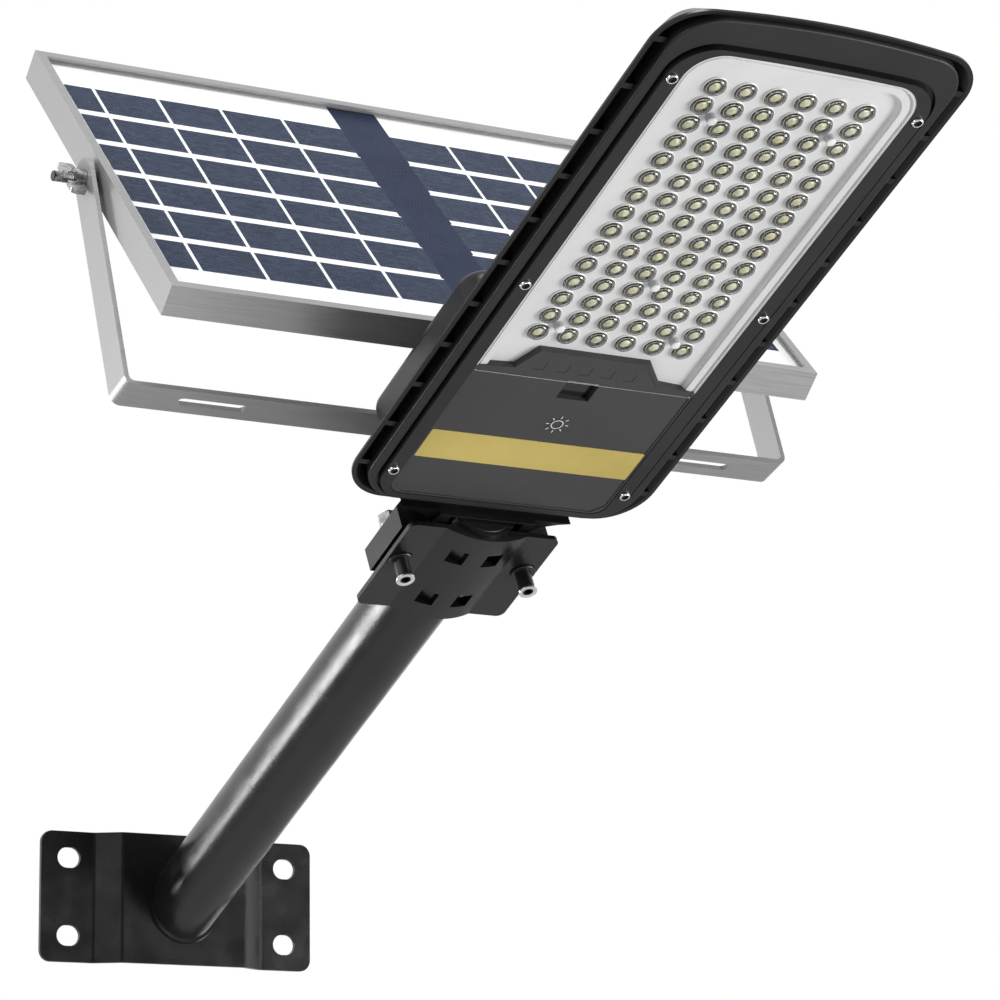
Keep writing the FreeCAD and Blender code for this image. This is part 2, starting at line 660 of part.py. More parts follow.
board = cut(box((-70, 70), (-853, -608), (-3.7, -2.1)),
            *[rod(1.6, (x, y, -20), 30) for x, y in POSTS])
node(softened(board, 3.0, lambda e: along("z", e) and abs(e.CenterOfMass.x) > 69), "led_board", ARM)
backing = rounded_plate((-74.5, 74.5), (-856.5, -604), (-2.0, 0.0), 20, 3)
node(backing, "heat_plate", ARM)

body = new_body()
outline = sketch_on(body, "XY_Plane", -5.0)
polygon(outline, [(-74.7, -472.3), (-74.7, -593.0), (-50.0, -595.0), (-41.0, -612.0 + 0.3),
                  (34.0, -612.0 + 0.3), (49.0, -595.0), (74.7, -593.0), (74.7, -472.3)])
plate_pad = pad(body, outline, 6.0)
plate_pad.Reversed = True
round_edges(body, 8.7, lambda e: along("z", e) and near(e.CenterOfMass, x=74.7, y=472.3))
trough = sketch_on(body, "XY_Plane", -11.0)
polygon(trough, [(-66.5, -473.5), (-73.5, -480.5), (-73.5, -591.0), (-49.0, -593.0), (-40.0, -609.0),
                 (33.0, -609.0), (48.0, -593.0), (73.5, -591.0), (73.5, -480.5), (66.5, -473.5)])
pocket(body, trough, 0.5, reverse=True)
openings = sketch_on(body, "XY_Plane")
rectangle(openings, (-11.0, 11.0), (-589.0, -573.0))
INDICATOR_X = [-35.0 + 15.3 * i for i in range(5)]
for x in INDICATOR_X:
    rectangle(openings, (x - 3.6, x + 3.6), (-602.2, -595.0))
pocket(body, openings)
node(body, "label_plate", ARM)

stripe = box((-73.3, 73.3), (-532.5, -507.0), (-10.8, -10.5))
node(softened(stripe, 1.0, lambda e: along("z", e)), "stripe_film", ARM)
sensor = fuse(box((-10.8, 10.8), (-588.8, -573.2), (-7.0, -5.0)), box((-14, 14), (-592, -570), (-5.0, -3.5)))
node(sensor, "sensor_window", ARM)
lights = [box((x - 3.5, x + 3.5), (-602.1, -595.1), (-10.3, -4.9)) for x in INDICATOR_X]
light_bar = fuse(box((-40, 32), (-603.5, -594), (-5.0, -3.9)), *lights)
node(light_bar, "indicator_bar", ARM)

for index, (x, y) in enumerate(POSTS, start=1):
    post = fuse(rod(3.0, (x, y, -11.2), 6.2), rod(1.5, (x, y, -6.0), 4.0))
    node(post, f"board_post_{index}", ARM)

# ---------------------------------------------------------------- inside the battery box

CELL_X = (-60.0, -38.0, -16.0, 6.0)
tray = cut(box((-72, 18), (-622, -530), (2.0, 14.0)),
           *[rod(D.cell_radius + 0.3, (x, -610, 16.0), 90, "y") for x in CELL_X])
node(softened(tray, 1.5, lambda e: along("z", e) and e.CenterOfMass.x < -70), "battery_tray", ARM)
for index, x in enumerate(CELL_X, start=1):
    cell = fuse(rod(D.cell_radius, (x, -608, 16.0), D.cell_length, "y"),
                rod(3.0, (x, -543.0, 16.0), 1.6, "y"))
    node(softened(cell, 0.8, lambda e: end_circle(e) and e.Curve.Radius > 9), f"battery_cell_{index}", ARM)
control = cut(box((24, 78), (-618, -520), (9.0, 10.6)), *[rod(1.7, (x, y, 0), 20)
                                                           for x in (28, 74) for y in (-614, -524)])
node(control, "control_board", ARM)
gland = cut(fuse(rod(6.0, (gland_x, -D.box_near - 5, 22.5), 14, "y"),
                 hexagon(17, (gland_x, -D.box_near + 0.05, 22.5), 5, "y"),
                 rod(6.8, (gland_x, -D.box_near + 5.05, 22.5), 7, "y")),
            rod(2.6, (gland_x, -D.box_near - 20, 22.5), 60, "y"))
node(gland, "cable_gland", ARM)

# ---------------------------------------------------------------- panel bracket

STRAP_BACK = STRAP.inverse()
riser_half = 24.0
riser_body = box((-riser_half, riser_half), (-15, 15), (-60, -D.strap_sheet / 2))
below_neck = doc.addObject("Part::Box", "BelowNeckTop")
below_neck.Length, below_neck.Width, below_neck.Height = 400, 400, 200
below_neck.Placement = STRAP_BACK.multiply(ARM).multiply(
    Placement(Vector(-200, -700, D.neck_top.value - 200), Rotation()))
riser = cut(riser_body, below_neck, rod(3.3, (-12, 0, -60), 120), rod(3.3, (12, 0, -60), 120))
node(softened(riser, 3.0, lambda e: along("z", e) and abs(e.CenterOfMass.x) > 23), "bracket_riser", STRAP)

body = new_body()
outline = sketch_on(body, "XZ_Plane")
low = -D.strap_sheet / 2
inner = D.strap_half - D.strap_sheet
polygon(outline, [(-D.strap_half, low), (D.strap_half, low), (D.strap_half, D.arm_height),
                  (inner, D.arm_height), (inner, D.strap_sheet / 2), (-inner, D.strap_sheet / 2),
                  (-inner, D.arm_height), (-D.strap_half, D.arm_height)])
pad(body, outline, D.strap_width, both=True)
round_edges(body, 6.5, lambda e: along("y", e) and near(e.CenterOfMass, x=D.strap_half.value, slack=0.1)
            and e.CenterOfMass.z < 0)
round_edges(body, 3.5, lambda e: along("y", e) and near(e.CenterOfMass, x=inner.value, slack=0.1)
            and e.CenterOfMass.z < 3)
round_edges(body, 10.0, lambda e: along("x", e) and near(e.CenterOfMass, z=D.arm_height.value, slack=0.1))
slots = sketch_on(body, "XY_Plane")
for side in (-1, 1):
    obround(slots, D.strap_slot_x * side, Size.of(0), D.strap_slot_half, D.strap_slot_radius)
    circle(slots, 12.0 * side, 0, 3.3)
pocket(body, slots)
pivots = sketch_on(body, "YZ_Plane")
circle(pivots, 0, D.pivot_height, D.pivot_hole)
pocket(body, pivots)
node(body, "panel_bracket", STRAP)
for side, word in ((-1, "left"), (1, "right")):
    screw = fuse(rod(5.0, (12.0 * side, 0, D.strap_sheet / 2), 3.0), rod(3.0, (12.0 * side, 0, -7), 9))
    screw = cut(screw, hexagon(4, (12.0 * side, 0, 2.9), 3))
    node(screw, f"bracket_screw_{word}", STRAP)

# ---------------------------------------------------------------- solar panel

half_w = D.panel_width / 2
half_l = D.panel_length / 2
half_d = D.panel_depth / 2


def rail_outline(reach):
    """Section of a frame rail, measured inwards from its outer face."""
    wall = D.frame_wall
    ledge = half_d - 1.6 - D.glass_thick - D.cell_thick - 0.1
    points = [(0, -half_d), (D.frame_foot, -half_d), (D.frame_foot, -half_d + 1.6), (wall, -half_d + 1.6),
              (wall, ledge - 1.6), (D.frame_lip + 2, ledge - 1.6), (D.frame_lip + 2, ledge),
              (wall, ledge), (wall, half_d - 1.6), (D.frame_lip, half_d - 1.6), (D.frame_lip, half_d),
              (0, half_d)]
    return [(reach(x), z) for x, z in points]


for sign, word in ((-1, "left"), (1, "right")):
    body = new_body()
    outline = sketch_on(body, "XZ_Plane")
    polygon(outline, rail_outline(lambda x: (half_w - x) * sign))
    pad(body, outline, D.panel_length, both=True)
    mitre = sketch_on(body, "XY_Plane")
    edge = half_w * sign
    tip = (half_w - 20) * sign
    for end in (-1, 1):
        polygon(mitre, [(edge, half_l * end), (tip, half_l * end), (tip, (half_l - 20) * end)])
    pocket(body, mitre)
    hole = sketch_on(body, "YZ_Plane")
    circle(hole, 0, -D.pivot_back, D.pivot_radius + 0.05)
    pocket(body, hole)
    node(body, f"frame_{word}", PANEL_BODY)
for sign, word in ((-1, "bottom"), (1, "top")):
    body = new_body()
    outline = sketch_on(body, "YZ_Plane")
    polygon(outline, rail_outline(lambda x: (half_l - x) * sign))
    pad(body, outline, D.panel_width, both=True)
    mitre = sketch_on(body, "XY_Plane")
    edge = half_l * sign
    tip = (half_l - 20) * sign
    for end in (-1, 1):
        polygon(mitre, [(half_w * end, edge), (half_w * end, tip), ((half_w - 20) * end, tip)])
    pocket(body, mitre)
    node(body, f"frame_{word}", PANEL_BODY)

sheet_x = half_w - D.frame_wall - 0.3
sheet_y = half_l - D.frame_wall - 0.3
glass_high = half_d - 1.65
glass = box((-sheet_x, sheet_x), (-sheet_y, sheet_y), (glass_high - D.glass_thick, glass_high))
node(softened(glass, 0.5, lambda e: along("z", e)), "panel_glass", PANEL_BODY)
cells_high = glass_high - D.glass_thick
cells = box((-sheet_x, sheet_x), (-sheet_y, sheet_y), (cells_high - D.cell_thick, cells_high))
node(softened(cells, 0.5, lambda e: along("z", e)), "cell_sheet", PANEL_BODY)
under = cells_high - D.cell_thick
junction = box((-28, 28), (40, 84), (under - 13, under))
node(softened(junction, 3.0, lambda e: along("z", e)), "junction_box", PANEL_BODY)
outlet = cut(fuse(rod(4.2, (0, 33.0, under - 6.5), 7.0, "y"), hexagon(10, (0, 27.0, under - 6.5), 6.0, "y")),
             rod(2.0, (0, 20, under - 6.5), 18, "y"))
node(outlet, "junction_gland", PANEL_BODY)

BOLT_OUT = 20.0
HUB = 6.5
for sign, word in ((-1, "left"), (1, "right")):
    head = hexagon(8, ((half_w - D.frame_wall - 4.0) * sign, 0, 0), 4.0, "x")
    if sign < 0:
        head = hexagon(8, ((half_w - D.frame_wall) * sign, 0, 0), 4.0, "x")
    collar_x = half_w * sign if sign > 0 else (half_w + 3.6) * sign
    collar = rod(6.5, (collar_x, 0, 0), 3.6, "x")
    start = (half_w - D.frame_wall - 1) * sign
    reach = D.strap_half + BOLT_OUT - half_w + D.frame_wall + 1
    if sign < 0:
        start = -(D.strap_half + BOLT_OUT)
    bolt = fuse(head, collar, rod(D.pivot_radius, (start, 0, 0), reach, "x"))
    node(bolt, f"pivot_bolt_{word}", PANEL)
    base = D.strap_half + 0.3
    hub_x = base * sign if sign > 0 else -(base + HUB)
    hub = rod(6.6, (hub_x, 0, 0), HUB, "x")
    wing_x = (base + 1.5, base + 12) if sign > 0 else (-base - 12, -base - 1.5)
    wings = [softened(box(wing_x, (5.0 * way - 8.5, 5.0 * way + 8.5), (-1.6, 1.6)), 3.0,
                      lambda e: along("z", e)) for way in (-1.6, 1.6)]
    clear = rod(D.pivot_radius + 0.08, (-300, 0, 0), 600, "x")
    notch = box((base + HUB, base + 20) if sign > 0 else (-base - 20, -base - HUB), (-6.0, 6.0), (-3, 3))
    node(cut(fuse(hub, *wings), clear, notch), f"wing_nut_{word}", PANEL)

# ---------------------------------------------------------------- checks and files

doc.recompute()
for thing in doc.Objects:
    if "Invalid" in thing.State or "Error" in thing.State:
        raise RuntimeError(f"{thing.Name} ({thing.Label}) is {thing.State}")
os.makedirs("parts", exist_ok=True)
for thing in nodes:
    shape = thing.Shape
    if shape.isNull() or not shape.isValid() or len(shape.Solids) != 1:
        raise RuntimeError(f"{thing.Label} has {len(shape.Solids)} solids, valid {shape.isValid()}")
    shape.exportStep(f"parts/{thing.Label}.step")
    print(f"{thing.Label}: {shape.Volume:.0f} mm3")
print(len(nodes), "pieces")
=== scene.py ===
import json
import math
import random

import bpy
from mathutils import Matrix, Vector


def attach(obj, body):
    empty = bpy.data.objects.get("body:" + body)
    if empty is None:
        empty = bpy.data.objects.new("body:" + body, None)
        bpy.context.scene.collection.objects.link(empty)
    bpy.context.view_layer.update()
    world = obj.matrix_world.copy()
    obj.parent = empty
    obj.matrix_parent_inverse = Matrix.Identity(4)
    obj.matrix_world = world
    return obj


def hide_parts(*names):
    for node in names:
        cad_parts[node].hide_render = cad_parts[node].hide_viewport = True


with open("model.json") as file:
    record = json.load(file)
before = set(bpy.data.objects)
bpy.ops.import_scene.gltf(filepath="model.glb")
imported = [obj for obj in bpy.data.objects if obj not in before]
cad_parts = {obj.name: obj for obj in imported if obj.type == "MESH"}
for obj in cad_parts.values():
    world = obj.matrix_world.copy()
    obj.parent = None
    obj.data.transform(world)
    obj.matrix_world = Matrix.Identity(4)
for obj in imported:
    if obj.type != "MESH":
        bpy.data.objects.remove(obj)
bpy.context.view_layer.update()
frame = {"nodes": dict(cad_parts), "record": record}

NODES = frame["nodes"]
scene = bpy.context.scene
random.seed(4)
MM = 0.001

# ------------------------------------------------------------------ frames of the lamp

HAT = 14.5


def turned(origin, degrees):
    """A frame turned about X, with its origin in millimetres."""
    return Matrix.Translation(Vector(origin) * MM) @ Matrix.Rotation(math.radians(degrees), 4, "X")


ARM = turned((0, -HAT, 0), -26.0)
STRAP = turned((0, -405.5, 248.0), -20.3)
PIVOT = STRAP @ Vector((0, 0, 153 * MM))
PANEL = Matrix.Translation(PIVOT) @ Matrix.Rotation(math.radians(45), 4, "X")

# ------------------------------------------------------------------ camera and light

camera = bpy.data.objects.new("camera", bpy.data.cameras.new("camera"))
scene.collection.objects.link(camera)
scene.camera = camera
scene.view_settings.view_transform = "Standard"
camera.data.sensor_width = 36
camera.data.lens = 138.5
camera.data.clip_end = 60
right = Vector((0.8641, -0.5032, -0.0115)).normalized()
ahead = Vector((0.4939, 0.8435, 0.2111)).normalized()
up = right.cross(ahead).normalized()
right = ahead.cross(up)
view = Matrix((right, up, -ahead)).transposed().to_4x4()
view.translation = Vector((-1.146, -2.392 - HAT * MM, -0.292))
camera.matrix_world = view

world = bpy.data.worlds.new("world")
scene.world = world
world.use_nodes = True
backdrop = world.node_tree.nodes["Background"]
backdrop.inputs["Strength"].default_value = 1.0
direction = world.node_tree.nodes.new("ShaderNodeTexCoord")
split = world.node_tree.nodes.new("ShaderNodeSeparateXYZ")
fade = world.node_tree.nodes.new("ShaderNodeValToRGB")
fade.color_ramp.elements[0].position = 0.0
fade.color_ramp.elements[0].color = (0.14, 0.14, 0.14, 1)
fade.color_ramp.elements[1].position = 0.35
fade.color_ramp.elements[1].color = (1.0, 1.0, 1.0, 1)
shift = world.node_tree.nodes.new("ShaderNodeMapRange")
shift.inputs["From Min"].default_value = -0.8
shift.inputs["From Max"].default_value = 1.0
for source, out, target, into in ((direction, "Generated", split, "Vector"), (split, "Y", shift, "Value"),
                                  (shift, "Result", fade, "Fac"), (fade, "Color", backdrop, "Color")):
    world.node_tree.links.new(source.outputs[out], target.inputs[into])


def softbox(name, where, at, size, power):
    """A soft area light aimed at a point."""
    light = bpy.data.lights.new(name, "AREA")
    light.shape = "RECTANGLE"
    light.size, light.size_y = size
    light.energy = power
    lamp = bpy.data.objects.new(name, light)
    scene.collection.objects.link(lamp)
    lamp.location = where
    lamp.rotation_euler = (Vector(at) - Vector(where)).to_track_quat("-Z", "Y").to_euler()


softbox("edge_light", (-2.0, 1.5, -0.2), (0, -0.3, 0.1), (0.3, 1.7), 52)
softbox("key_light", (-2.7, -1.3, 0.9), (0, -0.4, 0.2), (0.6, 1.8), 30)
softbox("top_light", (-0.4, -1.9, 2.8), (0, -0.4, 0.4), (1.2, 0.9), 62)
softbox("fill_light", (2.2, -2.4, -0.7), (0, -0.4, 0.2), (1.1, 1.3), 84)
softbox("under_light", (0.6, -2.0, -1.9), (0, -0.4, 0.3), (1.4, 0.8), 11)

# ------------------------------------------------------------------ floor

bpy.ops.mesh.primitive_plane_add(size=24, location=(0, 0, -2.2))
floor = bpy.context.object
floor.name = "floor"

# ------------------------------------------------------------------ materials


def shader(name, colour, rough, metallic=0.0, **sockets):
    """A material with its plain values on the shader's own sockets."""
    made = bpy.data.materials.new(name)
    made.use_nodes = True
    face = made.node_tree.nodes["Principled BSDF"]
    face.inputs["Base Color"].default_value = (*colour, 1)
    face.inputs["Roughness"].default_value = rough
    face.inputs["Metallic"].default_value = metallic
    for key, value in sockets.items():
        face.inputs[key.replace("_", " ")].default_value = value
    return made


def node_of(made, kind, **inputs):
    """A shader node with some of its inputs set."""
    part = made.node_tree.nodes.new(kind)
    for key, value in inputs.items():
        part.inputs[key.replace("_", " ")].default_value = value
    return part


def wire(made, source, out, target, into):
    """Links an output to an input, both by name."""
    made.node_tree.links.new(source.outputs[out], target.inputs[into])


def noise(made, scale, detail=4.0, rough=0.5, stretch=(1, 1, 1)):
    """Noise in object space, in metres, stretched along the axes if wanted."""
    place = node_of(made, "ShaderNodeTexCoord")
    mapping = node_of(made, "ShaderNodeMapping")
    mapping.inputs["Scale"].default_value = stretch
    wire(made, place, "Object", mapping, "Vector")
    texture = node_of(made, "ShaderNodeTexNoise", Scale=scale, Detail=detail, Roughness=rough)
    wire(made, mapping, "Vector", texture, "Vector")
    return texture


def mottle(made, texture, dark, light, low=0.35, high=0.65):
    """Drives the base colour between two tones."""
    ramp = node_of(made, "ShaderNodeValToRGB")
    ramp.color_ramp.elements[0].position = low
    ramp.color_ramp.elements[0].color = (*dark, 1)
    ramp.color_ramp.elements[1].position = high
    ramp.color_ramp.elements[1].color = (*light, 1)
    wire(made, texture, "Fac", ramp, "Fac")
    wire(made, ramp, "Color", made.node_tree.nodes["Principled BSDF"], "Base Color")
    return ramp


def roughen(made, texture, low, high):
    """Drives the roughness between two values."""
    reach = node_of(made, "ShaderNodeMapRange")
    reach.inputs["From Min"].default_value = 0.3
    reach.inputs["From Max"].default_value = 0.7
    reach.inputs["To Min"].default_value = low
    reach.inputs["To Max"].default_value = high
    wire(made, texture, "Fac", reach, "Value")
    wire(made, reach, "Result", made.node_tree.nodes["Principled BSDF"], "Roughness")


def grain(made, scale, strength, distance=0.0002, detail=3.0, stretch=(1, 1, 1)):
    """A fine surface bump."""
    texture = noise(made, scale, detail, 0.6, stretch)
    bump = node_of(made, "ShaderNodeBump", Strength=strength, Distance=distance)
    wire(made, texture, "Fac", bump, "Height")
    wire(made, bump, "Normal", made.node_tree.nodes["Principled BSDF"], "Normal")
    return bump


def moulded(name, dark, light, rough, bump, scale=1500, **sockets):
    """Plastic or powder paint: slow colour drift, uneven gloss and a fine grain."""
    made = shader(name, light, rough, **sockets)
    mottle(made, noise(made, 18, 5), dark, light)
    roughen(made, noise(made, 45, 4), rough - 0.05, rough + 0.06)
    grain(made, scale, bump)
    return made


def metal(name, dark, light, rough, stretch=(1, 1, 1), scale=120, bump=0.12, metallic=1.0):
    """Metal with streaks along one way and small changes of gloss."""
    made = shader(name, light, rough, metallic)
    streaks = noise(made, scale, 5, 0.6, stretch)
    mottle(made, streaks, dark, light, 0.3, 0.7)
    roughen(made, streaks, rough - 0.06, rough + 0.08)
    grain(made, scale * 6, bump, 0.00005, 3, stretch)
    return made


DULL = {"Specular_IOR_Level": 0.32}
MATT = {"Specular_IOR_Level": 0.06}
M = {
    # lamp
    "black_paint": moulded("black_paint", (0.0045, 0.0045, 0.005), (0.0075, 0.0075, 0.008), 0.24, 0.16, 1300),
    "black_plastic": moulded("black_plastic", (0.004, 0.004, 0.0044), (0.008, 0.008, 0.0085),
                             0.33, 0.2, 1100, **DULL),
    "gland_plastic": moulded("gland_plastic", (0.006, 0.006, 0.006), (0.011, 0.011, 0.011), 0.42, 0.15),
    "face_plastic": moulded("face_plastic", (0.011, 0.011, 0.0115), (0.016, 0.016, 0.0165),
                            0.42, 0.25, 1100, **DULL),
    "bright_steel": metal("bright_steel", (0.26, 0.26, 0.26), (0.66, 0.66, 0.65), 0.2, scale=300),
    "bolt_steel": moulded("bolt_steel", (0.006, 0.006, 0.006), (0.012, 0.012, 0.012), 0.32, 0.15),
    "lens": shader("lens", (1, 1, 1), 0.02, Transmission_Weight=1.0, IOR=1.42),
    "board_white": moulded("board_white", (0.56, 0.56, 0.565), (0.62, 0.62, 0.625), 0.38, 0.05, 900),
    "aluminium": metal("aluminium", (0.25, 0.25, 0.255), (0.33, 0.33, 0.335),
                       0.42, (1, 40, 40), 30, 0.1, 0.45),
    "label_grey": moulded("label_grey", (0.034, 0.034, 0.035), (0.040, 0.040, 0.041),
                          0.42, 0.1, 1600, **DULL),
    "gold_film": moulded("gold_film", (0.40, 0.31, 0.075), (0.47, 0.37, 0.10), 0.38, 0.06, 900),
    "dark_window": shader("dark_window", (0.006, 0.006, 0.007), 0.12),
    "light_bar": moulded("light_bar", (0.024, 0.024, 0.025), (0.030, 0.030, 0.031), 0.4, 0.1),
    "cell_wrap": moulded("cell_wrap", (0.04, 0.13, 0.32), (0.06, 0.19, 0.42), 0.35, 0.05),
    "circuit_board": moulded("circuit_board", (0.02, 0.12, 0.05), (0.04, 0.2, 0.09), 0.4, 0.1),
    # solar panel
    "solar_glass": shader("solar_glass", (0.02, 0.03, 0.05), 0.06, Alpha=0.06),
    "solar_cells": moulded("solar_cells", (0.86, 0.87, 0.88), (0.92, 0.92, 0.93), 0.4, 0.05),
    "strip_blue": moulded("strip_blue", (0.012, 0.020, 0.048), (0.017, 0.026, 0.060), 0.4, 0.05, 700, **MATT),
    "busbar": moulded("busbar", (0.024, 0.036, 0.072), (0.034, 0.048, 0.090), 0.4, 0.05, 900, **MATT),
    # small pieces in the light window, and fasteners
    "phosphor": moulded("phosphor", (0.70, 0.66, 0.36), (0.86, 0.83, 0.60), 0.3, 0.05),
    "cup_dark": moulded("cup_dark", (0.020, 0.020, 0.014), (0.075, 0.073, 0.052), 0.25, 0.3, 900),
    "cup_light": metal("cup_light", (0.35, 0.35, 0.28), (0.70, 0.70, 0.60), 0.22, scale=500, bump=0.3),
    "rim_clear": moulded("rim_clear", (0.66, 0.66, 0.64), (0.78, 0.78, 0.76), 0.18, 0.05, 700),
    "post_clear": moulded("post_clear", (0.36, 0.36, 0.38), (0.50, 0.50, 0.52), 0.2, 0.05, 800),
    "post_face": moulded("post_face", (0.62, 0.62, 0.62), (0.72, 0.72, 0.72), 0.3, 0.05),
    "icon_ink": moulded("icon_ink", (0.50, 0.50, 0.50), (0.60, 0.60, 0.60), 0.4, 0.05),
    "chrome": metal("chrome", (0.80, 0.80, 0.80), (0.95, 0.95, 0.95), 0.12, scale=300),
    "thread_steel": metal("thread_steel", (0.10, 0.10, 0.10), (0.40, 0.40, 0.40), 0.25, scale=300),
    # near-black painted shade: stands in for the shadow inside the hex sockets of the ring screws
    "socket_painted_shade": moulded("socket_painted_shade", (0.004, 0.004, 0.004), (0.008, 0.008, 0.008), 0.5, 0.2),
    # stage
    "floor_grey": moulded("floor_grey", (0.415, 0.415, 0.415), (0.425, 0.425, 0.425), 0.7, 0.05, 60),
}


def silicon():
    """Blue polycrystalline silicon: slanting grains of slightly different blues."""
    made = shader("silicon", (0.05, 0.07, 0.16), 0.4, Specular_IOR_Level=0.06)
    place = node_of(made, "ShaderNodeTexCoord")
    mapping = node_of(made, "ShaderNodeMapping")
    mapping.inputs["Rotation"].default_value = (0.3, 0.5, 0.7)
    mapping.inputs["Scale"].default_value = (1.0, 3.2, 2.2)
    wire(made, place, "Object", mapping, "Vector")
    crystals = node_of(made, "ShaderNodeTexVoronoi", Scale=210.0, Randomness=1.0)
    wire(made, mapping, "Vector", crystals, "Vector")
    tone = node_of(made, "ShaderNodeSeparateColor")
    wire(made, crystals, "Color", tone, "Color")
    ramp = node_of(made, "ShaderNodeValToRGB")
    stops = ((0.0, (0.014, 0.023, 0.048)), (0.5, (0.022, 0.034, 0.066)), (1.0, (0.034, 0.050, 0.090)))
    ramp.color_ramp.elements.new(0.5)
    for element, (position, colour) in zip(ramp.color_ramp.elements, stops):
        element.position = position
        element.color = (*colour, 1)
    wire(made, tone, "Red", ramp, "Fac")
    wire(made, ramp, "Color", made.node_tree.nodes["Principled BSDF"], "Base Color")
    roughen(made, noise(made, 700, 2), 0.22, 0.36)
    return made


M["silicon"] = silicon()
floor.data.materials.append(M["floor_grey"])

for entry in frame["record"]["subparts"]:
    thing = NODES[entry["node"]]
    thing.data.materials.clear()
    thing.data.materials.append(M[entry["material_slot"]])

# ------------------------------------------------------------------ soft edges on the CAD pieces

EDGES = {
    "wall_plate": 0.8, "arm_tube": 0.6, "lower_saddle": 0.5, "neck_saddle": 1.6, "head_shell": 0.8,
    "battery_cover": 1.0, "face_frame": 0.7, "window_ring": 0.6, "label_plate": 0.35,
    "bracket_riser": 1.0, "panel_bracket": 0.6, "frame_left": 0.35, "frame_right": 0.35,
    "frame_top": 0.35, "frame_bottom": 0.35, "junction_box": 1.0, "clamp_nut_left": 0.3,
    "clamp_nut_right": 0.3, "cable_gland": 0.3, "junction_gland": 0.3,
}
for name, width in EDGES.items():
    soft = NODES[name].modifiers.new("soft_edges", "BEVEL")
    soft.width = width * MM
    soft.segments = 2
    soft.limit_method = "ANGLE"
    soft.angle_limit = math.radians(32)
    soft.harden_normals = False

# ------------------------------------------------------------------ mesh helpers


def piece(name, points, faces, where, body, materials, picks=None, smooth=True, replaces=()):
    """A mesh given in millimetres in a local frame, riding on a body."""
    mesh = bpy.data.meshes.new(name)
    mesh.from_pydata([where @ (Vector(p) * MM) for p in points], [], faces)
    for made in materials:
        mesh.materials.append(M[made])
    for index, polygon in enumerate(mesh.polygons):
        polygon.use_smooth = smooth
        if picks:
            polygon.material_index = picks[index]
    mesh.validate()
    mesh.update()
    if smooth:
        mesh.set_sharp_from_angle(angle=math.radians(38))
    thing = bpy.data.objects.new(name, mesh)
    scene.collection.objects.link(thing)
    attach(thing, body)
    if replaces:
        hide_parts(*replaces)
    return thing


def lathe(profile, centre, segments, capped=True):
    """Turns a profile of (radius, z, material) round the local z axis.

    The profile runs toward -z. Left uncapped, it closes on itself.
    """
    points, faces, picks = [], [], []
    cx, cy = centre
    for radius, z, pick in profile:
        for k in range(segments):
            a = 2 * math.pi * k / segments
            points.append((cx + radius * math.cos(a), cy + radius * math.sin(a), z))
    for ring in range(len(profile) - 1):
        for k in range(segments):
            low = ring * segments
            high = low + segments
            nxt = (k + 1) % segments
            faces.append((low + k, high + k, high + nxt, low + nxt))
            picks.append(profile[ring + 1][2])
    if capped:
        faces.append(tuple(reversed(range((len(profile) - 1) * segments, len(profile) * segments))))
        picks.append(profile[-1][2])
    else:
        last = (len(profile) - 1) * segments
        for k in range(segments):
            nxt = (k + 1) % segments
            faces.append((last + k, k, nxt, last + nxt))
            picks.append(profile[-1][2])
    return points, faces, picks


def gather(parts):
    """Joins (points, faces, picks) lists into one."""
    points, faces, picks = [], [], []
    for some_points, some_faces, some_picks in parts:
        base = len(points)
        points += some_points
        faces += [tuple(base + i for i in face) for face in some_faces]
        picks += some_picks
    return points, faces, picks


def rounded_loop(half, far, near, far_radius, near_radius, z, crown=0.0, steps=9):
    """A rounded rectangle in the lamp's plane; the far edge can be crowned."""
    loop = []
    corners = ((half - near_radius, -near - near_radius, near_radius, 0),
               (-half + near_radius, -near - near_radius, near_radius, 90),
               (-half + far_radius, -far + far_radius, far_radius, 180),
               (half - far_radius, -far + far_radius, far_radius, 270))
    for cx, cy, radius, start in corners:
        for k in range(steps + 1):
            a = math.radians(start + 90 * k / steps)
            x = cx + radius * math.cos(a)
            y = cy + radius * math.sin(a)
            bulge = crown * (1 - (x / half) ** 2) if y < (-far - near) / 2 else 0.0
            loop.append((x, y - bulge, z))
    return loop


def loft(loops):
    """Skins a stack of loops that have the same number of points, and closes the last one."""
    points, faces = [], []
    count = len(loops[0])
    for loop in loops:
        points += loop
    for ring in range(len(loops) - 1):
        low = ring * count
        high = low + count
        for k in range(count):
            nxt = (k + 1) % count
            faces.append((low + k, high + k, high + nxt, low + nxt))
    base = (len(loops) - 1) * count
    faces.append(tuple(base + k for k in reversed(range(count))))
    return points, faces, [0] * len(faces)


# ------------------------------------------------------------------ light window

FLOOR_Z = -6.6
WINDOW_FAR = 861.3
BOW = 2.0
WINDOW_NEAR = 588.0
NEAR_RADIUS = 2.0
# half width, reach past the window's far edge, far corner radius, height
WINDOW_STEPS = (
    (75.4, 0.4, 21.4, -10.9), (73.9, -1.1, 20.2, -10.9), (73.3, -1.7, 19.7, -9.3),
    (72.5, -2.5, 19.0, -9.3), (72.2, -2.8, 18.8, -10.1), (68.0, -7.0, 15.6, -9.9),
    (67.6, -7.4, 15.3, -8.6), (66.8, -8.2, 14.7, -8.6), (65.4, -9.6, 13.6, FLOOR_Z),
)
loops = [rounded_loop(half, WINDOW_FAR - BOW + reach, WINDOW_NEAR, radius, NEAR_RADIUS, z, BOW)
         for half, reach, radius, z in WINDOW_STEPS]
points, faces, picks = loft(loops)
piece("window_tray", points, faces, ARM, "lamp_head", ["board_white"], picks)

PITCH_X, PITCH_Y, FIRST_ROW = 19.6, 14.94, -833.0
COLUMNS = [PITCH_X * (i - 2.5) for i in range(6)]
ROWS = [FIRST_ROW + PITCH_Y * i for i in range(15)]
LENS_SIDES = 22
DARK, LIGHT, RIM, CHIP = 0, 1, 2, 3
